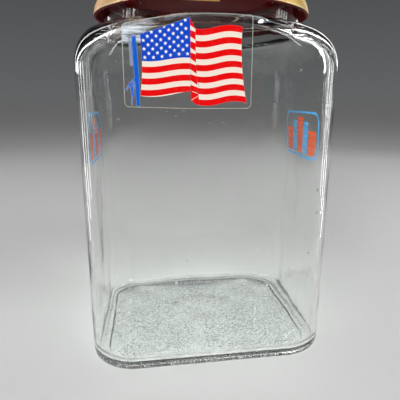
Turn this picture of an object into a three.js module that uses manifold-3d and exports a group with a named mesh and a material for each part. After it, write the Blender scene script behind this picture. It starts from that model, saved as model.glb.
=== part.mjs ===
// A coin bank made from a wide-mouthed glass counter jar: a clear jar with a rounded rectangular
// body and a round neck, a slip-on pressed lid with a coin slot, the loose seal ring that the lid
// rests on, a flag decal in two films on the front and a printed badge on each side.
// Millimetres, +Z up, front towards -Y, origin on the table under the middle of the jar.

import * as THREE from "three";
import { mergeVertices } from "three/addons/utils/BufferGeometryUtils.js";
import Module from "manifold-3d";

const wasm = await Module();
wasm.setup();

// ---- driving dimensions --------------------------------------------------------------------

// Glass body, outside.
const jarWidth = 200;
const jarDepth = 164;
const cornerRadius = 38; // of the four upright corners, seen from above
const bodyHeight = 234; // table to the start of the shoulder
const heelRadius = 5; // between the walls and the bottom
const bearingWidth = 7; // of the strip that the jar stands on
const bottomRecess = 1; // how far the bottom is raised inside that strip
const pushUpRadius = 35; // of the round mark in the middle of the bottom
const pushUpHeight = 2;

// Glass body, inside.
const wallThickness = 4.5;
const baseThickness = 4.5;
const innerFillet = 8.5; // between the inner walls and the floor

// Shoulder, neck and rim.
const shoulderRise = 32;
const neckSetback = 1.5; // of the neck behind the front and back walls
const neckHeight = 22;
const neckWall = 5;
const rimRound = 2;
const beadProjection = 2; // of the ring round the neck
const beadHeight = 5;
const beadBelowRim = 4;

// Pressed sheet lid.
const sheet = 0.8;
const skirtGap = 7.5; // between the neck and the inside of the lid's rim line
const edgeRadius = 20; // of the quarter round between the skirt and the top
const skirtOverlap = 13.5; // how far the skirt reaches below the glass rim
const hemWidth = 2;
const hemHeight = 1.2;
const crownWidth = 2; // flat ring on top, outside the recessed panel
const panelRecess = 1.6;
const panelSlope = 2; // run of the step down to the panel
const slotLength = 38;
const slotWidth = 5;

// Clearances.
const seatGap = 0.3; // glass to seal ring, and seal ring to lid
const glueLine = 0.1; // glass to a film or a badge

// Decal films on the front, and badges on the sides.
const filmThickness = 0.3;
const filmCorner = 3;
const filmBelowShoulder = 29.5; // from the start of the shoulder down to the films' lower edge
const filmHeight = 61.5;
const filmLeft = -63.7;
const filmRight = 23.5;
const filmSeam = -19.2; // where the two films meet
const filmSeamGap = 0.4;
const leftFilmDrop = 7; // of the left film's top edge at its outer corner
const leftFilmRise = 1.4; // of its lower edge at its outer corner
const badgeLength = 82;
const badgeHeight = 41;
const badgeCorner = 9;
const badgeThickness = 0.3;
const badgeMiddleY = 4;
const badgeBelowShoulder = 55; // from the start of the shoulder down to the badge's middle

// Facets.
const jarFacets = 48; // a multiple of 4, so that the extents fall on the axes
const lidFacets = 60;
const arcSteps = 6;

// ---- sizes that follow -----------------------------------------------------------------------

const shoulderTop = bodyHeight + shoulderRise;
const rimHeight = shoulderTop + neckHeight;
const neckRadius = jarDepth / 2 - neckSetback;
const boreRadius = neckRadius - neckWall;
const lidRadius = neckRadius + skirtGap;
const lidRimHeight = rimHeight - skirtOverlap;
const lidEdgeCentre = lidRadius - edgeRadius;
const sealBottom = rimHeight + seatGap;
const filmBottom = bodyHeight - filmBelowShoulder;
const filmTop = filmBottom + filmHeight;
const leftSeam = filmSeam - filmSeamGap / 2;
const rightSeam = filmSeam + filmSeamGap / 2;
const badgeMiddleZ = bodyHeight - badgeBelowShoulder;

// ---- helpers ---------------------------------------------------------------------------------

const lerp = THREE.MathUtils.lerp;

// Angles of a quarter turn, from 0 to 90 degrees, both ends included.
const quarter = (steps) => Array.from({ length: steps + 1 }, (_, i) => (i / steps) * (Math.PI / 2));

function finish(name, geometry, material) {
  const mesh = new THREE.Mesh(geometry, material);
  mesh.name = name;
  return mesh;
}

function toSolid(geometry) {
  const bare = geometry.clone();
  bare.deleteAttribute("normal");
  bare.deleteAttribute("uv");
  const merged = mergeVertices(bare, 1e-4);
  return new wasm.Manifold(
    new wasm.Mesh({
      numProp: 3,
      vertProperties: new Float32Array(merged.attributes.position.array),
      triVerts: new Uint32Array(merged.index.array),
    }),
  );
}

function toGeometry(solid) {
  const mesh = solid.getMesh();
  const positions = new Float32Array(mesh.numVert * 3);
  for (let i = 0; i < mesh.numVert; i++)
    positions.set(mesh.vertProperties.subarray(i * mesh.numProp, i * mesh.numProp + 3), i * 3);
  const geometry = new THREE.BufferGeometry();
  geometry.setAttribute("position", new THREE.BufferAttribute(positions, 3));
  geometry.setIndex(new THREE.BufferAttribute(mesh.triVerts, 1));
  geometry.computeVertexNormals();
  return geometry;
}

// A rounded rectangle at a height: half its width, half its depth and its corner radius.
const station = (halfWidth, halfDepth, corner, z) => ({ halfWidth, halfDepth, corner, z });
const circle = (radius, z) => station(radius, radius, radius, z);
const inset = (outline, by, z) =>
  station(outline.halfWidth - by, outline.halfDepth - by, outline.corner - by, z);

// A lathe whose turns are rounded rectangles instead of circles. Every point of a corner arc faces
// the way its turn angle says, so a flat wall is a single facet between two arcs.
function squaredLathe(stations, facets) {
  const profile = stations.map((s) => new THREE.Vector2(s.halfWidth, s.z));
  const geometry = new THREE.LatheGeometry(profile, facets);
  const position = geometry.getAttribute("position");
  const halfStep = Math.PI / facets;
  for (let turn = 0; turn <= facets; turn++) {
    const angle = (turn % facets) * 2 * halfStep + halfStep - Math.PI / 2;
    const x = Math.cos(angle);
    const y = Math.sin(angle);
    stations.forEach((s, i) => {
      const reach = s.corner * Math.cos(halfStep); // the arc's first point lies on the flat wall
      const px = Math.sign(x) * (s.halfWidth - reach) + s.corner * x;
      const py = Math.sign(y) * (s.halfDepth - reach) + s.corner * y;
      const onAxis = s.halfWidth === 0;
      position.setXYZ(turn * stations.length + i, onAxis ? 0 : px, onAxis ? 0 : py, s.z);
    });
  }
  return geometry;
}

// A round lathe about Z from [radius, height] points.
function roundLathe(points, facets) {
  const geometry = new THREE.LatheGeometry(
    points.map(([radius, z]) => new THREE.Vector2(radius, z)),
    facets,
  );
  return geometry.rotateX(Math.PI / 2);
}

function roundedRectangle(left, bottom, right, top, radius) {
  const shape = new THREE.Shape();
  shape.moveTo(left + radius, bottom);
  shape.lineTo(right - radius, bottom);
  shape.absarc(right - radius, bottom + radius, radius, -Math.PI / 2, 0, false);
  shape.lineTo(right, top - radius);
  shape.absarc(right - radius, top - radius, radius, 0, Math.PI / 2, false);
  shape.lineTo(left + radius, top);
  shape.absarc(left + radius, top - radius, radius, Math.PI / 2, Math.PI, false);
  shape.lineTo(left, bottom + radius);
  shape.absarc(left + radius, bottom + radius, radius, Math.PI, 1.5 * Math.PI, false);
  return shape;
}

// A polygon from its corners, each an [x, y] place and how far back its rounding starts.
function roundedPolygon(corners) {
  const shape = new THREE.Shape();
  corners.forEach(([x, y, rounding], i) => {
    const partWayTo = ([nextX, nextY]) =>
      new THREE.Vector2(nextX - x, nextY - y).setLength(rounding).add(new THREE.Vector2(x, y));
    const start = partWayTo(corners.at(i - 1));
    const end = partWayTo(corners[(i + 1) % corners.length]);
    if (i === 0) shape.moveTo(start.x, start.y);
    else shape.lineTo(start.x, start.y);
    if (rounding > 0) shape.quadraticCurveTo(x, y, end.x, end.y);
  });
  return shape;
}

// ---- glass jar -------------------------------------------------------------------------------

const bodyOutline = station(jarWidth / 2, jarDepth / 2, cornerRadius, 0);
const innerOutline = inset(bodyOutline, wallThickness, 0);

// From one outline up to a circle: the shoulder's quarter round.
function shoulder(outline, radius, bottom, rise) {
  return quarter(arcSteps + 2).map((t) => {
    const share = 1 - Math.cos(t);
    return station(
      lerp(outline.halfWidth, radius, share),
      lerp(outline.halfDepth, radius, share),
      lerp(outline.corner, radius, share),
      bottom + rise * Math.sin(t),
    );
  });
}

// Outside walls from the heel to the neck. A positive skin makes the same shape that much larger.
function outerWalls(skin = 0) {
  const outline = inset(bodyOutline, -skin, 0);
  const heel = quarter(arcSteps - 2).map((t) =>
    inset(outline, heelRadius * (1 - Math.sin(t)), heelRadius * (1 - Math.cos(t))),
  );
  return [...heel, ...shoulder(outline, neckRadius + skin, bodyHeight, shoulderRise + skin)];
}

function glassJar() {
  const bearingInset = heelRadius + bearingWidth;
  const bottom = [
    circle(0, pushUpHeight),
    circle(pushUpRadius - pushUpHeight, pushUpHeight),
    circle(pushUpRadius, bottomRecess),
    inset(bodyOutline, bearingInset + 2 * bottomRecess, bottomRecess),
    inset(bodyOutline, bearingInset, 0),
  ];
  const beadTop = rimHeight - beadBelowRim;
  const beadRadius = neckRadius + beadProjection;
  const neckOutside = [
    circle(neckRadius, beadTop - beadHeight),
    circle(beadRadius, beadTop - beadHeight + beadProjection / 2),
    circle(beadRadius, beadTop - beadProjection / 2),
    circle(neckRadius, beadTop),
    ...quarter(3).map((t) =>
      circle(neckRadius - rimRound * (1 - Math.cos(t)), rimHeight - rimRound * (1 - Math.sin(t))),
    ),
  ];
  const neckInside = quarter(3).map((t) =>
    circle(boreRadius + rimRound * (1 - Math.sin(t)), rimHeight - rimRound * (1 - Math.cos(t))),
  );
  const innerShoulder = shoulder(innerOutline, boreRadius, bodyHeight, shoulderRise - wallThickness);
  const floorFillet = quarter(arcSteps).map((t) =>
    inset(innerOutline, innerFillet * (1 - Math.cos(t)), baseThickness + innerFillet * (1 - Math.sin(t))),
  );
  const floorRise = pushUpHeight - bottomRecess;
  const floorMiddle = [
    circle(pushUpRadius + floorRise, baseThickness),
    circle(pushUpRadius, baseThickness + floorRise),
    circle(0, baseThickness + floorRise),
  ];
  return squaredLathe(
    [
      ...bottom,
      ...outerWalls(),
      ...neckOutside,
      ...neckInside,
      ...innerShoulder.reverse(),
      ...floorFillet,
      ...floorMiddle,
    ],
    jarFacets,
  );
}

// ---- lid and seal ring ---------------------------------------------------------------------

// The lid's quarter round, a distance under its outside, from the top down to a height.
function lidArc(under, fromRadius, toHeight, steps) {
  const radius = edgeRadius - under;
  const start = Math.acos((fromRadius - lidEdgeCentre) / radius);
  const end = Math.asin((toHeight - lidRimHeight) / radius);
  return Array.from({ length: steps + 1 }, (_, i) => {
    const t = lerp(start, end, i / steps);
    return [lidEdgeCentre + radius * Math.cos(t), lidRimHeight + radius * Math.sin(t)];
  });
}

function lidShell() {
  const crown = lidRimHeight + edgeRadius;
  const stepTop = lidEdgeCentre - crownWidth;
  const panelEdge = stepTop - panelSlope;
  const panel = crown - panelRecess;
  const hemTop = lidRimHeight + hemHeight;
  const points = [
    [0, panel - sheet],
    [panelEdge + sheet, panel - sheet],
    [stepTop + sheet, crown - sheet],
    ...lidArc(sheet, lidEdgeCentre, hemTop, 2 * arcSteps),
    [lidRadius - hemWidth, hemTop],
    [lidRadius - hemWidth, lidRimHeight],
    ...lidArc(0, lidEdgeCentre, lidRimHeight, 2 * arcSteps).reverse(),
    [stepTop, crown],
    [panelEdge, panel],
    [0, panel],
  ];
  const half = slotWidth / 2;
  const reach = slotLength / 2;
  const slot = new THREE.ExtrudeGeometry(roundedRectangle(-reach, -half, reach, half, half * 0.98), {
    depth: 4 * edgeRadius,
    bevelEnabled: false,
    curveSegments: arcSteps,
  });
  slot.translate(0, 0, panel - 2 * edgeRadius);
  return toGeometry(toSolid(roundLathe(points, lidFacets)).subtract(toSolid(slot)));
}

// It fills the corner between the glass rim and the lid's quarter round.
function sealRing() {
  const outside = lidArc(sheet + seatGap, boreRadius, sealBottom, arcSteps);
  const points = [[boreRadius, sealBottom], ...outside.reverse()];
  return roundLathe([...points, points[0]], lidFacets);
}

// ---- films and badges ----------------------------------------------------------------------

// A film that follows the front of the glass and its shoulder, with its outer corners rounded.
function film(outer, seam, topDrop, bottomRise) {
  const skin = (by) =>
    toSolid(squaredLathe([circle(0, 0), ...outerWalls(by), circle(0, shoulderTop + by)], jarFacets));
  const outline = roundedPolygon([
    [seam, filmBottom, 0],
    [seam, filmTop, 0],
    [outer, filmTop - topDrop, filmCorner],
    [outer, filmBottom + bottomRise, filmCorner],
  ]);
  const cutter = new THREE.ExtrudeGeometry(outline, {
    depth: jarDepth,
    bevelEnabled: false,
    curveSegments: arcSteps,
  });
  cutter.rotateX(Math.PI / 2);
  const shell = skin(glueLine + filmThickness).subtract(skin(glueLine));
  return toGeometry(shell.intersect(toSolid(cutter)));
}

// A badge stands off the +X wall; the one on the other side is turned half round.
function badge() {
  const outline = roundedRectangle(
    -badgeLength / 2,
    -badgeHeight / 2,
    badgeLength / 2,
    badgeHeight / 2,
    badgeCorner,
  );
  return new THREE.ExtrudeGeometry(outline, {
    depth: badgeThickness,
    bevelEnabled: false,
    curveSegments: arcSteps,
  })
    .rotateX(Math.PI / 2)
    .rotateZ(Math.PI / 2);
}

// ---- materials and assembly ----------------------------------------------------------------

const clearGlass = new THREE.MeshStandardMaterial({
  color: 0xdfe8e2,
  roughness: 0.05,
  metalness: 0,
  transparent: true,
  opacity: 0.35,
});
const goldLacquer = new THREE.MeshStandardMaterial({ color: 0xd9b06a, roughness: 0.35, metalness: 0.9 });
const maroonRubber = new THREE.MeshStandardMaterial({ color: 0x4a1414, roughness: 0.7, metalness: 0 });
const clearFilm = new THREE.MeshStandardMaterial({ color: 0xe8eaea, roughness: 0.2, metalness: 0 });
const badgeInk = new THREE.MeshStandardMaterial({ color: 0x6fb4e6, roughness: 0.4, metalness: 0 });

const bank = new THREE.Group();
bank.add(finish("glass_jar", glassJar(), clearGlass));
bank.add(finish("seal_ring", sealRing(), maroonRubber));
bank.add(finish("lid_shell", lidShell(), goldLacquer));
bank.add(finish("flag_film_left", film(filmLeft, leftSeam, leftFilmDrop, leftFilmRise), clearFilm));
bank.add(finish("flag_film_right", film(filmRight, rightSeam, 0, 0), clearFilm));

for (const [name, side] of [
  ["badge_right", 1],
  ["badge_left", -1],
]) {
  const plate = finish(name, badge(), badgeInk);
  plate.rotation.z = side > 0 ? 0 : Math.PI;
  plate.position.set(side * (jarWidth / 2 + glueLine), badgeMiddleY, badgeMiddleZ);
  bank.add(plate);
}

export default bank;
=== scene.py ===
"""Coin bank: a glass counter jar with a slip-on lid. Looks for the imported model, in metres."""

import math

import bmesh
import bpy
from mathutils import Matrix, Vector


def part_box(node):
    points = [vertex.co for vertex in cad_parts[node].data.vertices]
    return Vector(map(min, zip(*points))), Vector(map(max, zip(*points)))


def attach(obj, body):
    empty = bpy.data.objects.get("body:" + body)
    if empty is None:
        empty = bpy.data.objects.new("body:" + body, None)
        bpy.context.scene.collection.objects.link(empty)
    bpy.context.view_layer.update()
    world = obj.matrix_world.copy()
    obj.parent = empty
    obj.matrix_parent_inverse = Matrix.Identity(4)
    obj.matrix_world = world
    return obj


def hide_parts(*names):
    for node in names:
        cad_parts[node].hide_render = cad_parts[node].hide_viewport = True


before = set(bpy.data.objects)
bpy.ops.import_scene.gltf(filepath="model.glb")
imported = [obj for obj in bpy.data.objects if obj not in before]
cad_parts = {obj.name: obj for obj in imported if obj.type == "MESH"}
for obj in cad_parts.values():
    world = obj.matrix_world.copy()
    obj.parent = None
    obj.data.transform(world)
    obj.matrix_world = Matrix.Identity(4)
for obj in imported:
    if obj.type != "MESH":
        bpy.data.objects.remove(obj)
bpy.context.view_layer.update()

MM = 0.001
STEPS = 96  # points round every ring, a multiple of 4

# ---- sizes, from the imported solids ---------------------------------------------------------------

_, jar_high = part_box("glass_jar")
lid_low, lid_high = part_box("lid_shell")
seal_low, seal_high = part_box("seal_ring")

half_width = jar_high[0] / MM
half_depth = 82.0
corner = 38.0  # radius of the upright corners, seen from above
heel = 5.0  # radius between the walls and the bottom
bearing = 7.0  # width of the strip that the jar stands on
recess = 1.0  # how far the bottom is raised inside that strip
push_up = 35.0  # radius of the round mark in the bottom
push_up_height = 2.0
wall = 4.5
floor_top = 4.5
floor_round = 8.5  # radius between the inner walls and the floor
body_height = 234.0
shoulder_rise = 32.0
shoulder_top = body_height + shoulder_rise
neck_radius = 80.5
bore_radius = 75.5
rim_height = jar_high[2] / MM
rim_round = 2.0
bead = 2.0  # how far the ring round the neck stands out
bead_half = 2.5  # half of its height
bead_top = rim_height - 4.0
lid_radius = lid_high[0] / MM
lid_rim = lid_low[2] / MM
lid_top = lid_high[2] / MM
lid_round = lid_top - lid_rim  # radius of the quarter round from the rim to the top
lid_centre = lid_radius - lid_round
lid_panel = lid_top - 1.6
sheet = 0.8  # thickness of the tinplate
hem = 1.25  # radius of the lid's rolled rim
decal = 0.00022  # thickness of a film or a print, in metres


# ---- making meshes -------------------------------------------------------------------------------


def deselect():
    if bpy.context.object and bpy.context.object.mode != "OBJECT":
        bpy.ops.object.mode_set(mode="OBJECT")
    bpy.ops.object.select_all(action="DESELECT")


def start(name):
    """A new, empty mesh object, in edit mode with its points selectable."""
    deselect()
    mesh = bpy.data.meshes.new(name)
    ob = bpy.data.objects.new(name, mesh)
    bpy.context.scene.collection.objects.link(ob)
    bpy.context.view_layer.objects.active = ob
    ob.select_set(True)
    bpy.ops.object.mode_set(mode="EDIT")
    bpy.ops.mesh.select_mode(type="VERT")
    return ob


def edit(ob, mode="VERT"):
    deselect()
    bpy.context.view_layer.objects.active = ob
    ob.select_set(True)
    bpy.ops.object.mode_set(mode="EDIT")
    bpy.ops.mesh.select_mode(type=mode)


def pick(ob, test):
    """Selects the points of a mesh in edit mode that pass a test."""
    bm = bmesh.from_edit_mesh(ob.data)
    bpy.ops.mesh.select_all(action="DESELECT")
    for point in bm.verts:
        if test(point):
            point.select_set(True)
    bm.select_flush(True)
    bmesh.update_edit_mesh(ob.data)


def slice_up(axis, places):
    """Cuts all of the mesh in edit mode across an axis, at places in millimetres."""
    for at in places:
        bpy.ops.mesh.select_all(action="SELECT")
        place, way = [0, 0, 0], [0, 0, 0]
        place[axis], way[axis] = at * MM, 1
        bpy.ops.mesh.bisect(plane_co=place, plane_no=way)


def finish(ob, angle=35):
    """Back to object mode with its normals out, and smooth where it bends by less than an angle."""
    edit(ob)
    bpy.ops.mesh.select_all(action="SELECT")
    bpy.ops.mesh.normals_make_consistent(inside=False)
    bpy.ops.object.mode_set(mode="OBJECT")
    if angle:
        bpy.ops.object.shade_smooth_by_angle(angle=math.radians(angle))
    else:
        bpy.ops.object.shade_flat()
    return ob


def modify(ob, kind, **settings):
    deselect()
    bpy.context.view_layer.objects.active = ob
    ob.select_set(True)
    mod = ob.modifiers.new(kind.lower(), kind)
    for key, value in settings.items():
        setattr(mod, key, value)
    bpy.ops.object.modifier_apply(modifier=mod.name)


def apply_place(ob):
    deselect()
    bpy.context.view_layer.objects.active = ob
    ob.select_set(True)
    bpy.ops.object.transform_apply(location=True, rotation=True, scale=True)


def quarter(steps):
    """Angles of a quarter turn, in radians."""
    return [i / steps * math.pi / 2 for i in range(steps + 1)]


class Rings:
    """A wall made ring by ring: each ring is a rounded rectangle, given by half its width, half
    its depth and its corner radius, at a height, all in millimetres. A circle has all three equal."""

    def __init__(self, name, first):
        self.ob = start(name)
        self.now = (first[2], first[2], first[2], first[3])
        bpy.ops.mesh.primitive_circle_add(
            vertices=STEPS,
            radius=first[2] * MM,
            rotation=(0, 0, math.pi / STEPS),
            location=(0, 0, first[3] * MM),
        )
        self.shape(first)

    def quadrants(self):
        bm = bmesh.from_edit_mesh(self.ob.data)
        bm.verts.index_update()
        ring = [(v.index, v.co.x > 0, v.co.y > 0) for v in bm.verts if v.select]
        for right in (True, False):
            for back in (True, False):
                bm = bmesh.from_edit_mesh(self.ob.data)
                bm.verts.ensure_lookup_table()
                for i, r, b in ring:
                    bm.verts[i].select_set(r == right and b == back)
                bm.select_flush_mode()
                yield (1 if right else -1), (1 if back else -1)
        bm = bmesh.from_edit_mesh(self.ob.data)
        bm.verts.ensure_lookup_table()
        for i, _, _ in ring:
            bm.verts[i].select_set(True)
        bm.select_flush(True)

    def shape(self, to):
        a, b, c, z = self.now
        a2, b2, c2, z2 = to
        up = (z2 - z) * MM
        if abs(a - a2) + abs(b - b2) + abs(c - c2) < 1e-9:
            if up:
                bpy.ops.transform.translate(value=(0, 0, up))
        elif a == b == c and a2 == b2 == c2:
            bpy.ops.transform.resize(value=(c2 / c, c2 / c, 1), center_override=(0, 0, z * MM))
            bpy.ops.transform.translate(value=(0, 0, up))
        else:
            for x, y in self.quadrants():
                middle = (x * (a - c) * MM, y * (b - c) * MM, z * MM)
                bpy.ops.transform.resize(value=(c2 / c, c2 / c, 1), center_override=middle)
                move = (x * (a2 - c2 - a + c) * MM, y * (b2 - c2 - b + c) * MM, up)
                bpy.ops.transform.translate(value=move)
        self.now = to

    def to(self, *rings):
        for ring in rings:
            bpy.ops.mesh.extrude_region_move()
            self.shape(ring)
        return self

    def close(self):
        """Fills both open ends."""
        bpy.ops.mesh.select_all(action="DESELECT")
        bpy.ops.mesh.select_mode(type="EDGE")
        bpy.ops.mesh.select_non_manifold()
        bpy.ops.mesh.fill_holes(sides=0)
        return finish(self.ob)

    def join_ends(self):
        """Joins the last ring to the first, which has the same outline."""
        bpy.ops.mesh.select_all(action="SELECT")
        bpy.ops.mesh.remove_doubles(threshold=1e-6)
        return finish(self.ob)


def circle(radius, z):
    return (radius, radius, radius, z)


# ---- shader maths --------------------------------------------------------------------------------


class Value:
    """A number that changes over a surface. Sums on values add Math nodes."""

    def __init__(self, paint, socket):
        self.paint = paint
        self.socket = socket

    def __add__(self, other):
        return self.paint.math("ADD", self, other)

    def __radd__(self, other):
        return self.paint.math("ADD", self, other)

    def __sub__(self, other):
        return self.paint.math("SUBTRACT", self, other)

    def __rsub__(self, other):
        return self.paint.math("SUBTRACT", other, self)

    def __mul__(self, other):
        return self.paint.math("MULTIPLY", self, other)

    def __rmul__(self, other):
        return self.paint.math("MULTIPLY", self, other)

    def __truediv__(self, other):
        return self.paint.math("DIVIDE", self, other)

    def __rtruediv__(self, other):
        return self.paint.math("DIVIDE", other, self)

    def __gt__(self, other):
        return self.paint.math("GREATER_THAN", self, other)

    def __abs__(self):
        return self.paint.math("ABSOLUTE", self)

    def step(self, edge, soft):
        """0 below an edge and 1 above it, with a soft change as wide as soft."""
        low, high = edge - soft / 2, edge + soft / 2
        ramp = self.paint.node(
            "MapRange",
            {"Value": self, "From Min": low, "From Max": high},
            interpolation_type="SMOOTHSTEP",
        )
        return Value(self.paint, ramp.outputs["Result"])


def srgb(red, green, blue):
    """A screen colour from 0 to 255, as the shader's linear one."""
    lin = [v / 12.92 if v <= 0.04045 else ((v + 0.055) / 1.055) ** 2.4
           for v in (red / 255, green / 255, blue / 255)]
    return (*lin, 1.0)


class Paint:
    """A material and its nodes."""

    def __init__(self, name):
        self.material = bpy.data.materials.new(name)
        self.material.use_nodes = True
        self.tree = self.material.node_tree
        self.shader = self.tree.nodes["Principled BSDF"]
        self.output = self.tree.nodes["Material Output"]

    def node(self, kind, inputs=None, **settings):
        """A node of any type: its settings come first, then the values or links of its sockets."""
        new = self.tree.nodes.new("ShaderNode" + kind)
        for key, value in settings.items():
            setattr(new, key, value)
        for key, value in (inputs or {}).items():
            self.feed(new.inputs[key], value)
        return new

    def feed(self, socket, value):
        if isinstance(value, Value):
            value = value.socket
        if isinstance(value, bpy.types.NodeSocket):
            self.tree.links.new(value, socket)
        else:
            socket.default_value = value

    def set(self, **inputs):
        """Sets the shader's own sockets; an underline in a name stands for a space."""
        for key, value in inputs.items():
            self.feed(self.shader.inputs[key.replace("_", " ")], value)

    def math(self, operation, *values):
        new = self.node("Math", dict(enumerate(values)), operation=operation)
        return Value(self, new.outputs[0])

    def place(self):
        """Object coordinates as a vector socket."""
        return self.node("TexCoord").outputs["Object"]

    def xyz(self):
        """The three object coordinates in millimetres."""
        split = self.node("SeparateXYZ", {"Vector": self.place()})
        return [Value(self, s) * 1000 for s in split.outputs]

    def stretched(self, scale):
        """Object coordinates, stretched by a factor along each axis."""
        return self.node("Mapping", {"Vector": self.place(), "Scale": scale}).outputs[0]

    def noise(self, scale, detail=2.0, rough=0.5, vector=None, warp=0.0):
        new = self.node(
            "TexNoise",
            {"Vector": vector or self.place(), "Scale": scale, "Detail": detail,
             "Roughness": rough, "Distortion": warp},
        )
        return Value(self, new.outputs["Fac"])

    def cells(self, scale):
        """The distance to the nearest of many scattered points."""
        new = self.node("TexVoronoi", {"Vector": self.place(), "Scale": scale}, feature="F1")
        return Value(self, new.outputs["Distance"])

    def most(self, *values):
        """The greatest of some values."""
        top = values[0]
        for value in values[1:]:
            top = self.math("MAXIMUM", top, value)
        return top

    def length(self, a, b):
        """The length of a flat vector."""
        return self.math("SQRT", a * a + b * b)

    def blend(self, share, first, second):
        """A colour between two colours."""
        new = self.node("Mix", data_type="RGBA")
        self.feed(new.inputs["Factor"], share)
        self.feed(new.inputs[6], first)
        self.feed(new.inputs[7], second)
        return new.outputs[2]

    def bump(self, height, strength, distance, under=None):
        new = self.node("Bump", {"Height": height, "Strength": strength, "Distance": distance})
        if under is not None:
            self.feed(new.inputs["Normal"], under)
        return new.outputs[0]

    def mix(self, share, first, second):
        """A shader between two shaders."""
        new = self.node("MixShader", {0: share})
        self.tree.links.new(first, new.inputs[1])
        self.tree.links.new(second, new.inputs[2])
        return new.outputs[0]

    def surface(self, shader):
        self.tree.links.new(shader, self.output.inputs["Surface"])

    def on(self, ob):
        ob.data.materials.append(self.material)
        return ob


# ---- materials -----------------------------------------------------------------------------------


def clear_glass():
    """Soda glass: faintly green, rippled inside, stippled under the bottom, with hair scratches; grains
    of painted shade under the bottom stand in for the stipple's sparkle.
    """
    p = Paint("clear_glass")
    x, y, z = p.xyz()
    ripple = p.noise(26, 1.5, 0.4)
    streaks = p.noise(90, 3, 0.6, p.stretched((1, 1, 0.10)))
    hairs = p.noise(420, 2, 0.5, p.stretched((1, 1, 0.05)), 1.5)
    seeds = 1 - p.cells(60).step(0.055, 0.05)
    under = 1 - z.step(3.6, 1.0)
    patches = p.noise(38, 3, 0.6).step(0.5, 0.35)
    outside_mark = p.length(x, y).step(push_up - 6, 12) * 0.3 + 0.7
    pits = 1 - p.cells(640).step(0.24, 0.44)
    stipple = pits * (patches * 0.6 + 0.4) * outside_mark * under
    # grain: painted shade, darker grains under the bottom that stand in for light scattered by the
    # stipple
    grain = p.cells(900).step(0.4, 0.5) * (patches * 0.5 + 0.5) * outside_mark * under
    normal = p.bump(ripple, 0.25, 0.002)
    normal = p.bump(streaks, 0.10, 0.0006, normal)
    normal = p.bump(seeds, 0.35, 0.0008, normal)
    normal = p.bump(stipple, 1.0, 0.0007, normal)
    tint = p.blend(streaks.step(0.6, 0.3), (0.985, 0.993, 0.986, 1), (0.965, 0.98, 0.968, 1))
    p.set(
        # the base colour is darkened by the painted shade of the grains
        Base_Color=p.blend(grain * 0.8, tint, (0.60, 0.63, 0.61, 1)),
        Roughness=hairs.step(0.66, 0.12) * 0.08 + under * 0.02 + 0.004,
        IOR=1.5,
        Transmission_Weight=1.0,
        Normal=normal,
    )
    clear = p.node("BsdfTransparent", {"Color": (0.93, 0.95, 0.94, 1)})
    shadow = p.node("LightPath").outputs["Is Shadow Ray"]
    p.surface(p.mix(shadow, p.shader.outputs[0], clear.outputs[0]))
    return p


def gold_lacquer():
    """Gold lacquer on tinplate: a warm sheen, with a few small scuffs; a painted highlight in pale
    patches along the edge, the right side painted yellower and the left more tan as light falls, and
    painted shade at the rim's lowest edge.
    """
    p = Paint("gold_lacquer")
    x, _, z = p.xyz()
    clouds = p.noise(22, 3, 0.55)
    mottle = p.noise(260, 4, 0.65)
    specks = p.noise(900, 2, 0.6)
    # painted highlight: pale cream patches just above the rim, where the rolled edge catches the light
    painted_rim_highlight = (1 - z.step(lid_rim + 1.8, 2.2)) * mottle.step(0.42, 0.25)
    # painted light: the right of the lid is painted yellower and the left more tan, as the light falls
    # on it
    side = x.step(0, 120)
    base = p.blend(side, srgb(240, 180, 112), srgb(238, 194, 92))
    pale = p.blend(side, srgb(252, 214, 160), srgb(252, 226, 148))
    dull = srgb(190, 128, 66)
    colour = p.blend(clouds.step(0.5, 0.5) * 0.45 + mottle.step(0.5, 0.3) * 0.2, base, pale)
    colour = p.blend(specks.step(0.66, 0.06) * 0.35, colour, dull)
    colour = p.blend(painted_rim_highlight * 0.8, colour, srgb(254, 242, 208))
    # edge: painted shade, darkening the lowest strip of the rolled rim where it turns under
    edge = (1 - z.step(lid_rim + 0.3, 0.3)) * 0.7
    colour = p.blend(edge, colour, srgb(84, 44, 20))
    p.set(
        Base_Color=colour,
        Metallic=0.72,
        Roughness=0.30 + mottle * 0.14,
        Normal=p.bump(mottle, 0.12, 0.0003, p.bump(specks, 0.12, 0.0002)),
    )
    return p


def maroon_lacquer():
    """The dark red lacquer inside the lid, with rub marks."""
    p = Paint("maroon_lacquer")
    marks = p.noise(70, 4, 0.6)
    fine = p.noise(500, 3, 0.6)
    p.set(
        Base_Color=p.blend(marks.step(0.55, 0.4), srgb(84, 0, 2), srgb(102, 2, 5)),
        Roughness=0.45 + fine * 0.2,
        Specular_IOR_Level=0.08,
        Normal=p.bump(fine, 0.15, 0.0002),
    )
    return p


def maroon_rubber():
    """The seal's rubber, with a pale bloom."""
    p = Paint("maroon_rubber")
    grain = p.noise(700, 3, 0.6)
    bloom = p.noise(60, 3, 0.5)
    p.set(
        Base_Color=p.blend(bloom.step(0.55, 0.3) * 0.6, srgb(66, 14, 14), srgb(98, 40, 36)),
        Roughness=0.6 + grain * 0.25,
        Normal=p.bump(grain, 0.3, 0.0003),
    )
    return p


def grey_floor():
    """The studio's pale floor."""
    p = Paint("studio_floor")
    shade = p.blend(p.noise(6, 2), (0.49, 0.49, 0.49, 1), (0.52, 0.52, 0.515, 1))
    p.set(Base_Color=shade, Roughness=0.6)
    return p


# ---- the flag print ------------------------------------------------------------------------------


film_seam = -19.1  # where the two films meet, and the flag's halves with them
crisp = 0.16  # softness of a printed edge
canton_foot = 236.55
hoist_top = 262.2
fly_top = 257.4
red, cream, white = srgb(244, 0, 2), srgb(255, 240, 224), srgb(255, 255, 255)


def wave(p, across, length, height):
    """A swell along the flag, of a length and height."""
    return p.math("SINE", across * (2 * math.pi / length)) * height


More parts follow.
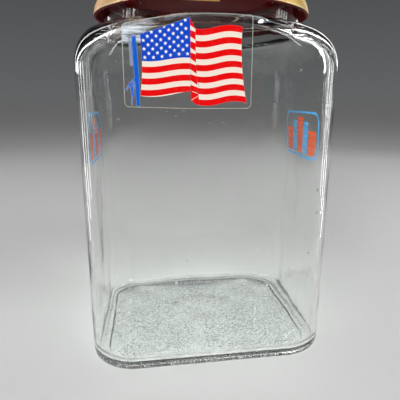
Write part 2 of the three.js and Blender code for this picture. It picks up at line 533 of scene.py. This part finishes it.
def hoist_half(p, x, z):
    """The half at the pole, with the canton: (opacity, colour)."""
    foot = wave(p, x + 30.5, 58, 1.85) + 214.3
    level = z - wave(p, x + 34.5, 50, 1.35)
    bars = p.math("FRACT", (canton_foot - level) / 7.42)
    canton = level.step(canton_foot, crisp)
    colour = p.blend(canton, p.blend(bars.step(0.47, 0.04), cream, red), srgb(0, 72, 206))
    colour = p.blend(stars(p, x + (z - 238) * 0.06, level) * canton, colour, white)
    edge = (z - 237) * (z - 237) * -0.0032 - 51.2
    inside = (x - edge).step(0, crisp) * (z - foot).step(0, crisp)
    inside = inside * (1 - level.step(hoist_top, crisp)) * (1 - x.step(film_seam, 0.05))
    return inside, colour


def fly_half(p, x, z, fold_edge):
    """The half away from the pole, from the fold's edge on: (opacity, colour)."""
    lean = (fly_top - z) * 0.08
    level = z - wave(p, x + 2.25 - lean, 41, 1.5)
    bars = p.math("FRACT", (fly_top - level) / 7.57)
    edge = (z - 247) * (z - 247) * 0.003 + 15.8
    inside = level.step(208.0, crisp) * (1 - level.step(fly_top, crisp))
    inside = inside * (x - fold_edge).step(0, crisp) * (1 - (x - edge).step(0, crisp))
    return inside, p.blend(bars.step(0.53, 0.04), red, cream)


def fold(p, x, z, fold_edge):
    """The fold between the halves, twisted strands that taper to the right: (opacity, colour)."""
    across = (x - film_seam) / 3.5
    strand = p.math("FRACT", (z + across * 1.75 - 219.6) / 6.95)
    width = 0.43 - across * 0.16
    twist = (1 - abs(strand - 0.33).step(width / 2, 0.04)) * z.step(218.3, 0.4)
    top = 262.6 - (x - film_seam) * 1.9
    foot = p.math("POWER", p.math("MAXIMUM", -12.5 - x, 0), 2) * 0.085 + 206.9
    inside = x.step(film_seam + 0.05, 0.05) * (1 - (x - fold_edge).step(0, crisp))
    inside = inside * (1 - (z - top).step(0, crisp)) * (z - foot).step(0, crisp)
    return inside, p.blend(twist, red, cream)


def pole_print(p, x, z, drag):
    """The pole with its cord and tassel, streaked where the ink is thin: its opacity."""
    sway = p.math("MAXIMUM", z - 218, 0) * -0.045 - 54.62
    reach = 1.5 - (z - 234) * (z - 234) * 0.0005
    pole = (1 - (abs(x - sway) / reach).step(1, 0.3)) * z.step(206.6, 0.4)
    cord = near_line(p, x, z, (-55.8, 224.4), (-60.0, 220.2), 1.5)
    for start_at, end_at, thick, dense in (
        ((-60.0, 220.2), (-61.8, 217.6), 1.3, 0.9),
        ((-58.7, 221.4), (-58.0, 213.8), 1.9, 1.0),
        ((-58.2, 214.6), (-58.9, 207.6), 0.9, 0.75),
        ((-56.2, 223.5), (-57.9, 214.0), 1.0, 0.8),
    ):
        cord = p.most(cord, near_line(p, x, z, start_at, end_at, thick) * dense)
    faded = near_line(p, x, z, (-58.6, 250), (-58.0, 233), 1.9) * 0.4
    worn = p.noise(1100, 2, 0.6).step(0.42, 0.2) * 0.3 + 0.7
    streaked = drag.step(0.36, 0.25) * 0.25 + 0.75
    return p.most(pole, cord * worn, faded) * streaked * (1 - (z - over_shoulder(p, x)).step(0.6, 3))


def flag_print(p, x, z):
    """The waving flag's ink, in millimetres over the front: (opacity, colour)."""
    fold_edge = p.math("POWER", p.math("MAXIMUM", 250 - z, 0), 2) * 0.0014 - 15.6
    left, hoist = hoist_half(p, x, z)
    right, fly = fly_half(p, x, z, fold_edge)
    middle, twisted = fold(p, x, z, fold_edge)
    curl = p.most(
        near_line(p, x, z, (-18.0, 216.1), (-14.6, 214.9), 0.35),
        near_line(p, x, z, (-14.3, 212.9), (-18.4, 210.4), 0.3),
    )
    ticks = p.most(
        near_line(p, x, z, (-15.4, 240.2), (-14.5, 236.6), 0.2),
        near_line(p, x, z, (-14.9, 232.6), (-14.0, 229.0), 0.2),
        near_line(p, x, z, (-14.0, 222.4), (-13.1, 219.2), 0.22),
    )
    colour = p.blend(right, p.blend(middle, hoist, twisted), fly)
    colour = p.blend(curl, colour, cream)
    colour = p.blend(ticks * 0.8, colour, srgb(90, 10, 14))
    past_shoulder = (z - over_shoulder(p, x)).step(0.3, 0.5) * (1 - x.step(film_seam, 0.05))
    ink = p.most(left, right, middle) * (1 - past_shoulder)
    drag = p.noise(700, 3, 0.6, p.stretched((1, 1, 0.12)))
    pole = pole_print(p, x, z, drag)
    azure = p.blend(drag, srgb(0, 84, 206), srgb(10, 112, 232))
    colour = p.blend((pole > 0.01) * (1 - ink), colour, azure)
    return p.most(ink, pole), colour


def over_shoulder(p, x):
    """The height at which the left film's print stops, where the film goes over the shoulder."""
    return p.math("POWER", p.math("MAXIMUM", x + 63, 0), 1.25) * 0.121 + 249.3


def near_line(p, x, z, a, b, width):
    """1 along a stroke from a to b, as wide as width."""
    dx, dz = b[0] - a[0], b[1] - a[1]
    along = p.math("MULTIPLY_ADD", x - a[0], dx, (z - a[1]) * dz) / (dx * dx + dz * dz)
    along = p.math("MINIMUM", p.math("MAXIMUM", along, 0), 1)
    ox, oz = x - a[0] - along * dx, z - a[1] - along * dz
    return 1 - p.length(ox, oz).step(width / 2, width * 0.4)


def stars(p, x, level):
    """Nine staggered rows of six and five stars."""
    pitch_x, pitch_z = 2.84, 2.62
    across = (x + 49.3) / pitch_x
    up = (level - 238.9) / pitch_z
    bounds = across.step(-0.5, 0.1) * (1 - across.step(10.5, 0.1))
    bounds = bounds * up.step(-0.5, 0.1) * (1 - up.step(8.5, 0.1))
    shapes = []
    for shift in (0, 1):
        dx = (across - shift - p.math("ROUND", (across - shift) / 2) * 2) * pitch_x
        dz = (up - shift - p.math("ROUND", (up - shift) / 2) * 2) * pitch_z
        shapes.append(star(p, dx, dz, 1.42))
    return p.most(*shapes) * bounds


def star(p, dx, dz, radius):
    """1 inside a five-pointed star."""
    sector = 2 * math.pi / 5
    inner = radius * 0.42
    turn = p.math("ARCTAN2", dx, dz) / sector
    angle = abs(turn - p.math("ROUND", turn)) * sector
    away = p.length(dx, dz)
    px, py = away * p.math("COSINE", angle), away * p.math("SINE", angle)
    ex = inner * math.cos(sector / 2) - radius
    ey = inner * math.sin(sector / 2)
    side = (py * ex - (px - radius) * ey) / math.hypot(ex, ey)
    return side.step(0, 0.12)


def printed_film(name):
    """Clear decal film with its ink: glossy, with a painted whitish reflection where it lifts off the
    shoulder.
    """
    p = Paint(name)
    x, _, z = p.xyz()
    ink, colour = flag_print(p, x, z)
    wrinkle = p.noise(150, 4, 0.65, p.stretched((0.35, 1, 3)))
    # the region over the shoulder where the film lifts: it carries the wrinkle bump and the painted
    # glare
    lift_and_glare_zone = z.step(247, 3) * (1 - x.step(-47, 12)) * (1 - (z - over_shoulder(p, x)).step(7, 5))
    # painted reflection: whitish-blue opaque patches standing in for the highlight on the lifted film
    painted_glare = lift_and_glare_zone * wrinkle.step(0.47, 0.3) * (1 - ink)
    fade = p.noise(300, 4, 0.6)
    colour = p.blend(fade.step(0.66, 0.3) * 0.03, colour, (0.9, 0.9, 0.9, 1))
    colour = p.blend(painted_glare * 0.8, colour, srgb(222, 238, 250))
    covered = p.most(ink, painted_glare * 0.85 + fade * 0.01 + 0.003)
    # where there is no ink the film is a pale bluish white, seen mostly where the painted reflection
    # makes it opaque
    colour = p.blend(ink, srgb(226, 236, 244), colour)
    normal = p.bump(wrinkle * lift_and_glare_zone, 0.5, 0.001, p.bump(fade, 0.06, 0.0003))
    p.set(Base_Color=colour, Roughness=0.3 + fade * 0.12, Specular_IOR_Level=0.25, Normal=normal)
    clear = p.node("BsdfTransparent", {"Color": (0.985, 0.985, 0.98, 1)})
    gloss = p.node("BsdfGlossy", {"Color": (1, 1, 1, 1), "Roughness": 0.05, "Normal": normal})
    sheen = Value(p, p.node("Fresnel", {"IOR": 1.35}).outputs[0]) * 0.6
    p.surface(p.mix(covered, p.mix(sheen, clear.outputs[0], gloss.outputs[0]), p.shader.outputs[0]))
    return p


def film_edge():
    """The cut edge of a film, milky where it has lifted and taken dust."""
    p = Paint("film_edge")
    dust = p.noise(600, 3, 0.6)
    wide = p.noise(45, 2, 0.5)
    milky = p.blend(wide.step(0.5, 0.3), srgb(214, 196, 184), srgb(206, 220, 206))
    p.set(Base_Color=milky, Roughness=0.5)
    clear = p.node("BsdfTransparent", {"Color": (0.97, 0.97, 0.97, 1)})
    share = dust.step(0.5, 0.4) * 0.35 + 0.4
    p.surface(p.mix(share, clear.outputs[0], p.shader.outputs[0]))
    return p


def fired_ink(name, first, second):
    """Screen-printed enamel on the glass."""
    p = Paint(name)
    grain = p.noise(900, 3, 0.6)
    wear = p.noise(160, 4, 0.6)
    p.set(
        Base_Color=p.blend(wear.step(0.55, 0.5), first, second),
        Roughness=0.4 + grain * 0.25,
        Specular_IOR_Level=0.25,
        Normal=p.bump(grain, 0.2, 0.0002),
    )
    return p


# ---- glass jar -----------------------------------------------------------------------------------


def body(inset, z):
    return (half_width - inset, half_depth - inset, corner - inset, z)


def shoulder(inset, radius, rise, steps):
    """Rings of the quarter round from the body up to the neck."""
    rings = []
    for t in quarter(steps):
        share = 1 - math.cos(t)
        a, b, c, _ = body(inset, 0)
        rings.append((a + (radius - a) * share, b + (radius - b) * share, c + (radius - c) * share,
                      body_height + rise * math.sin(t)))
    return rings


def jar_foot():
    """The outside of the bottom, from the round mark out to the walls."""
    inside = heel + bearing
    rings = [
        circle(push_up - 14, push_up_height),
        circle(push_up - 8, push_up_height - 0.12),
        circle(push_up - 3, push_up_height - 0.45),
        circle(push_up + 1, recess + 0.15),
        circle(push_up + 4, recess),
        body(inside + 2, recess),
        body(inside + 0.8, 0.7 * recess),
        body(inside, 0.1 * recess),
        body(inside - 1, 0),
    ]
    return rings + [body(heel * (1 - math.sin(t)), heel * (1 - math.cos(t))) for t in quarter(8)]


def jar_neck():
    """The neck outside with its ring, the rim, and the bore."""
    rings = [circle(neck_radius, shoulder_top + 4), circle(neck_radius, bead_top - 6)]
    for i in range(9):
        t = i * math.pi / 8
        rings.append(circle(neck_radius + bead * math.sin(t), bead_top - bead_half * (1 + math.cos(t))))
    for t in quarter(4):
        across, down = rim_round * (1 - math.cos(t)), rim_round * (1 - math.sin(t))
        rings.append(circle(neck_radius - across, rim_height - down))
    for t in quarter(4):
        across, down = rim_round * (1 - math.sin(t)), rim_round * (1 - math.cos(t))
        rings.append(circle(bore_radius + across, rim_height - down))
    return rings + [circle(bore_radius, shoulder_top + 6), circle(bore_radius, shoulder_top)]


def jar_inside():
    """The inner walls and the floor, down from the start of the shoulder."""
    low = floor_top + floor_round
    rings = [body(wall, low + (body_height - low) * i / 20) for i in range(19, 0, -1)]
    for t in quarter(10):
        rings.append(body(wall + floor_round * (1 - math.cos(t)), low - floor_round * math.sin(t)))
    return rings + [
        circle(push_up + 5, floor_top),
        circle(push_up + 1, floor_top + 0.2),
        circle(push_up - 4, floor_top + 0.7),
        circle(push_up - 10, floor_top + 0.95),
    ]


def make_jar():
    """The glass: one wall from the bottom's middle out, up, over the rim and down to the floor."""
    rings = jar_foot()
    rings += [body(0, heel + (body_height - heel) * i / 22) for i in range(1, 22)]
    rings += shoulder(0, neck_radius, shoulder_rise, 22) + jar_neck()
    rings += shoulder(wall, bore_radius, shoulder_rise - wall, 22)[::-1] + jar_inside()
    jar = Rings("jar_glass", rings[0]).to(*rings[1:]).close()
    edit(jar)
    slice_up(0, range(-60, 61, 8))
    slice_up(1, range(-42, 43, 7))
    finish(jar, 40)
    uneven_inside(jar)
    return clear_glass().on(jar)


def uneven_inside(jar):
    """Gives the inner wall and floor the slow unevenness of moulded glass, none at the neck."""
    neck_start = 262
    inner = jar.vertex_groups.new(name="inner")
    for v in jar.data.vertices:
        out = Vector((v.co.x, v.co.y, 0)).normalized()
        z = v.co.z / MM
        faces_in = v.normal.dot(out) < -0.2 or (v.normal.z > 0.4 and z < 60)
        if 7.5 < z < neck_start and faces_in:
            inner.add([v.index], min(1.0, (neck_start - z) / 25), "REPLACE")
    for name, size, depth, strength in (("ripples", 0.034, 1, 0.0012), ("sag", 0.11, 0, 0.0011)):
        clouds = bpy.data.textures.new(name, "CLOUDS")
        clouds.noise_scale = size
        clouds.noise_depth = depth
        modify(jar, "DISPLACE", texture=clouds, texture_coords="LOCAL", vertex_group="inner",
               strength=strength, mid_level=0.5)


# ---- lid and seal --------------------------------------------------------------------------------


def lid_arc(under, from_radius, to_height, steps):
    """The lid's quarter round, at a depth under its outside, from the top down."""
    radius = lid_round - under
    first = math.acos((from_radius - lid_centre) / radius)
    last = math.asin((to_height - lid_rim) / radius)
    turns = [first + (last - first) * i / steps for i in range(steps + 1)]
    return [(lid_centre + radius * math.cos(t), lid_rim + radius * math.sin(t)) for t in turns]


def pressed_line(radius, z, height, width=2.4):
    """A round bead pressed up out of a flat sheet."""
    return [circle(radius + side * width / 2, z + height * rise)
            for side, rise in ((-1, 0), (-0.6, 0.5), (-0.2, 0.95), (0.2, 0.95), (0.6, 0.5), (1, 0))]


def lid_outside():
    """From the slot's lip over the panel and its pressed rings, down the skirt."""
    step = lid_centre - 2
    rings = [(23, 7, 6.9, lid_panel), circle(30, lid_panel)]
    rings += pressed_line(38, lid_panel, 0.5) + pressed_line(56, lid_panel, 0.5)
    rings += [
        circle(step - 2.2, lid_panel),
        circle(step - 1.6, lid_panel + 0.25),
        circle(step - 0.4, lid_top - 0.25),
        circle(step + 0.4, lid_top),
    ]
    return rings + [circle(r, z) for r, z in lid_arc(0, lid_centre, lid_rim + hem + 1.1, 26)]


def lid_hem():
    """The rolled rim, from the outside round under and up the inside."""
    rings = []
    for i in range(11):
        t = math.radians(15 - 26 * i)
        rings.append(circle(lid_radius - hem + hem * math.cos(t), lid_rim + hem + hem * math.sin(t)))
    return rings


def lid_inside():
    """The underside of the sheet, from the rolled rim up and in to the slot."""
    step = lid_centre - 2
    panel = lid_panel - sheet
    rings = [circle(r, z) for r, z in lid_arc(sheet, lid_centre, lid_rim + hem + 1.6, 20)][::-1]
    return rings + [
        circle(step + 1.0, lid_top - sheet),
        circle(step - 0.2, lid_top - sheet - 0.3),
        circle(step - 1.6, panel + 0.2),
        circle(step - 2.4, panel),
        circle(61, panel),
        circle(30, panel),
        (23, 7, 6.9, panel),
        (20.4, 3.9, 3.85, panel),
        (19.7, 3.2, 3.15, lid_panel - 1.3),
        (19.6, 3.1, 3.05, lid_panel - 2.6),
    ]


def make_lid():
    """The pressed lid with its slot, gold outside and maroon inside and under the rolled rim."""
    slot = (19.0, 2.5, 2.45)
    lip = [
        (*slot, lid_panel - 2.6),
        (*slot, lid_panel - 1.0),
        (19.3, 2.8, 2.75, lid_panel - 0.25),
        (19.9, 3.4, 3.35, lid_panel),
    ]
    rings = lip + lid_outside() + lid_hem() + lid_inside() + lip[:1]
    lid = Rings("lid_cap", rings[0]).to(*rings[1:]).join_ends()
    gold_lacquer().on(lid)
    maroon_lacquer().on(lid)
    slot_reach = 12
    for face in lid.data.polygons:
        c = face.center
        radius, z = math.hypot(c.x, c.y) / MM, c.z / MM
        out = face.normal.dot(Vector((c.x, c.y, 0)).normalized())
        under_panel = slot_reach < radius < lid_centre and face.normal.z < 0.1 and z < lid_panel - 0.3
        under_skirt = radius >= lid_centre and (out < 0 or face.normal.z < -0.3)
        if under_panel or under_skirt:
            face.material_index = 1
    return lid


def make_seal():
    """The rubber ring on the rim, domed where the lid rests on it."""
    low, high = seal_low[2] / MM, seal_high[2] / MM
    outside = seal_high[0] / MM
    rings = [
        circle(bore_radius + 0.4, low),
        circle(outside - 0.5, low),
        circle(outside - 0.05, low + 0.4),
        circle(outside - 0.3, low + 1.0),
        circle(outside - 2.0, high - 0.9),
        circle(bore_radius + 2.4, high - 0.25),
        circle(bore_radius + 0.8, high - 0.15),
        circle(bore_radius + 0.1, high - 0.6),
        circle(bore_radius + 0.05, low + 0.5),
    ]
    seal = Rings("seal_gasket", rings[0]).to(*rings[1:], rings[0]).join_ends()
    return maroon_rubber().on(seal)


# ---- decals --------------------------------------------------------------------------------------

film_corner = 3.0
cut_edge = 0.42  # width of a film's milky edge
print_frame = 1.9  # width of the frame round a side print


def plate(name, low_x, high_x, low_z, high_z, y):
    """An upright rectangle facing the front, in edit mode."""
    deselect()
    bpy.ops.mesh.primitive_plane_add(size=1, location=(0, 0, 0))
    ob = bpy.context.object
    ob.name = ob.data.name = name
    ob.scale = ((high_x - low_x) * MM, (high_z - low_z) * MM, 1)
    ob.rotation_euler = (math.pi / 2, 0, 0)
    ob.location = ((low_x + high_x) / 2 * MM, y * MM, (low_z + high_z) / 2 * MM)
    apply_place(ob)
    edit(ob)
    bpy.ops.mesh.select_all(action="SELECT")
    return ob


def make_film(name, node, jar, top_drop=0.0, foot_rise=0.0):
    """A film with its outer corners rounded, laid on the glass; its cut edge is a thin band."""
    low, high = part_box(node)
    left, right, foot, top = [v / MM for v in (low[0], high[0], low[2], high[2])]
    lap = 0.15  # how far each film reaches over the gap between them
    if name.endswith("left"):
        right += lap
        outer, seam = left, right
    else:
        left -= lap
        outer, seam = right, left
    film = plate(name, left, right, foot, top, -130)
    for height, shift in ((top, -top_drop), (foot, foot_rise)):
        pick(film, lambda v: abs(v.co.x / MM - outer) < 1 and abs(v.co.z / MM - height) < 1)
        bpy.ops.transform.translate(value=(0, 0, shift * MM))
    pick(film, lambda v: abs(v.co.x / MM - outer) < 1)
    bpy.ops.mesh.bevel(offset=film_corner * MM, segments=6, affect="VERTICES")
    bpy.ops.mesh.select_all(action="SELECT")
    bpy.ops.mesh.inset(thickness=cut_edge * MM)
    printed_film("printed_" + name).on(film)
    film_edge().on(film)
    bpy.ops.object.mode_set(mode="OBJECT")
    widest = max(film.data.polygons, key=lambda f: f.area).index
    for face in film.data.polygons:
        at_seam = abs(face.center.x / MM - seam) < 1
        face.material_index = 0 if face.index == widest or at_seam else 1
    edit(film)
    for axis, first, last in ((0, left, right), (2, foot, top)):
        count = round((last - first) / 2.2)
        slice_up(axis, [first + (last - first) * i / count for i in range(1, count)])
    bpy.ops.object.mode_set(mode="OBJECT")
    modify(film, "SHRINKWRAP", target=jar, wrap_method="PROJECT", use_project_y=True,
           use_positive_direction=True, use_negative_direction=True, offset=0.00012,
           wrap_mode="ABOVE_SURFACE")
    modify(film, "SOLIDIFY", thickness=decal, offset=1.0)
    finish(film, 40)
    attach(film, "jar")
    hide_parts(node)


def rounded_plate(name, low_x, high_x, low_z, high_z, radius):
    """A flat plate with round corners, in edit mode."""
    ob = plate(name, low_x, high_x, low_z, high_z, 0)
    bpy.ops.mesh.bevel(offset=radius * MM, segments=6, affect="VERTICES")
    return ob


def coin_stack(name, middle, half, count, floor, shift):
    """A stack of coins seen from the side, pushed a little aside by turns."""
    thick, pitch = 3.1, 3.55
    coins = []
    for k in range(count):
        x = middle + (shift if k % 2 else -shift)
        foot = floor + k * pitch
        coin = rounded_plate(f"{name}_{k}", x - half, x + half, foot, foot + thick, 1.4)
        bpy.ops.object.mode_set(mode="OBJECT")
        coins.append(coin)
    return coins


def make_badge(name, node, side):
    """A framed pictogram, stacks of coins in two colours, fired a hair's breadth into the glass."""
    low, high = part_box(node)
    length, height = (high[1] - low[1]) / MM, (high[2] - low[2]) / MM
    sky = fired_ink(name + "_sky", srgb(70, 176, 255), srgb(110, 200, 255))
    warm = fired_ink(name + "_warm", srgb(255, 80, 0), srgb(255, 110, 16))
    rim = rounded_plate(name + "_frame", -length / 2, length / 2, -height / 2, height / 2, 9)
    edit(rim, "FACE")
    bpy.ops.mesh.select_all(action="SELECT")
    bpy.ops.mesh.inset(thickness=print_frame * MM)
    bpy.ops.mesh.delete(type="FACE")
    bpy.ops.object.mode_set(mode="OBJECT")
    pieces = [sky.on(rim)]
    for n, count in enumerate((6, 8, 9, 8, 6)):
        half, ink, shift = (7.3, warm, 0.45) if n % 2 == 0 else (4.4, sky, -0.45)
        stack = coin_stack(f"{name}_coin_{n}", 13.6 * (n - 2), half, count, -height / 2 + 4.2, shift)
        pieces += [ink.on(coin) for coin in stack]

    deselect()
    for piece in pieces:
        piece.select_set(True)
    bpy.context.view_layer.objects.active = rim
    bpy.ops.object.join()
    badge = bpy.context.object
    badge.name = badge.data.name = name
    modify(badge, "SOLIDIFY", thickness=decal, offset=0.0)
    badge.rotation_euler = (0, 0, side * math.pi / 2)
    badge.location = (side * (half_width * MM + 0.00005), (low[1] + high[1]) / 2, (low[2] + high[2]) / 2)
    apply_place(badge)
    finish(badge, 0)
    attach(badge, "jar")
    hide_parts(node)


# ---- studio --------------------------------------------------------------------------------------


def make_ground():
    """A wide pale floor under the jar."""
    deselect()
    bpy.ops.mesh.primitive_plane_add(size=60, location=(0, 0, 0))
    ground = bpy.context.object
    ground.name = "studio_ground"
    grey_floor().on(ground)


def make_air():
    """A dim grey room, darker overhead than at the horizon."""
    world = bpy.data.worlds.new("studio_air")
    world.use_nodes = True
    tree = world.node_tree
    back = tree.nodes["Background"]
    back.inputs["Color"].default_value = (0.94, 0.97, 1.0, 1)
    way = tree.nodes.new("ShaderNodeTexCoord")
    split = tree.nodes.new("ShaderNodeSeparateXYZ")
    fall = tree.nodes.new("ShaderNodeMapRange")
    for name, value in (("From Min", 0.0), ("From Max", 0.45), ("To Min", 0.13), ("To Max", 0.035)):
        fall.inputs[name].default_value = value
    tree.links.new(way.outputs["Generated"], split.inputs[0])
    tree.links.new(split.outputs["Z"], fall.inputs["Value"])
    tree.links.new(fall.outputs["Result"], back.inputs["Strength"])
    bpy.context.scene.world = world


def lamp(name, data, place, direction):
    """A light object at a place, shining in a direction."""
    ob = bpy.data.objects.new(name, data)
    ob.location = place
    ob.rotation_euler = Vector(direction).to_track_quat("-Z", "Y").to_euler()
    bpy.context.scene.collection.objects.link(ob)
    return ob


def panel_light(name, place, size, power, aim=(0, 0, 0.2)):
    """A flat oblong light, turned to a point."""
    data = bpy.data.lights.new(name, "AREA")
    data.shape = "RECTANGLE"
    data.size, data.size_y = size
    data.energy = power
    return lamp(name, data, place, Vector(aim) - Vector(place))


def side_lights(side, where):
    """One side's soft fill, and the narrow lights that draw lines on the shoulder and the walls."""
    fill = panel_light(f"fill_{where}", (side * 1.05, -1.3, 1.35), (0.16, 0.9), 14)
    fill.visible_glossy = False
    for n in range(8):
        place = (side * 0.8, -0.5 + 0.1 * n, 0.95 + 0.07 * n)
        panel_light(f"strip_{where}_{n}", place, (1.35, 0.016), 0.36, aim=(side * 0.3, 0, 0.2))
    for n in range(4):
        panel_light(f"tall_{where}_{n}", (side * 1.1, -0.10 + 0.11 * n, 0.62), (0.02, 1.15), 0.5)
    panel_light(f"rim_{where}", (side * 0.75, 0.85, 0.8), (0.12, 1.1), 1.3)


def edge_lights(side, where, bearing):
    """Three near lights on a bow round a front corner, seen only as streaks down the glass."""
    corner_x, corner_y, away, top = 0.09, -0.07, 0.3, 0.28
    for n in range(3):
        turn, foot = math.radians(bearing + 10 * n), 0.035 * n
        height = (top + foot) / 2
        place = (side * (corner_x + away * math.sin(turn)), corner_y + away * math.cos(turn), height)
        aim = (side * corner_x, corner_y, height)
        edge = panel_light(f"edge_{where}_{n}", place, (0.011, top - foot), 0.085, aim)
        edge.visible_camera = edge.visible_diffuse = edge.visible_transmission = False


def make_studio():
    bpy.context.scene.view_settings.view_transform = "Standard"
    make_ground()
    make_air()
    panel_light("top", (0, 0.7, 1.9), (2.2, 1.2), 5)
    side_lights(-1, "left")
    side_lights(1, "right")
    edge_lights(-1, "left", 52)
    edge_lights(1, "right", 70)
    sun = bpy.data.lights.new("overall", "SUN")
    sun.energy, sun.angle = 0.8, math.radians(70)
    lamp("overall", sun, (0, 0, 0), (0, 0.55, -1))


def make_camera():
    """Close in front, a little left of the middle, looking slightly down."""
    data = bpy.data.cameras.new("camera")
    data.lens, data.sensor_width = 36.26, 36.0
    data.clip_start = 0.01
    eye = bpy.data.objects.new("camera", data)
    eye.location = (-0.0532, -0.3641, 0.2121)
    eye.rotation_euler = Vector((0.13806, 0.95923, -0.24662)).to_track_quat("-Z", "Y").to_euler()
    bpy.context.scene.collection.objects.link(eye)
    bpy.context.scene.camera = eye


# ---- the whole -----------------------------------------------------------------------------------

make_camera()
jar = make_jar()
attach(jar, "jar")
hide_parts("glass_jar")
lid = make_lid()
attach(lid, "lid")
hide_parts("lid_shell")
seal = make_seal()
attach(seal, "lid_seal")
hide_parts("seal_ring")
make_film("film_left", "flag_film_left", jar, 7.0, 1.4)
make_film("film_right", "flag_film_right", jar)
make_badge("emblem_right", "badge_right", 1)
make_badge("emblem_left", "badge_left", -1)
make_studio()
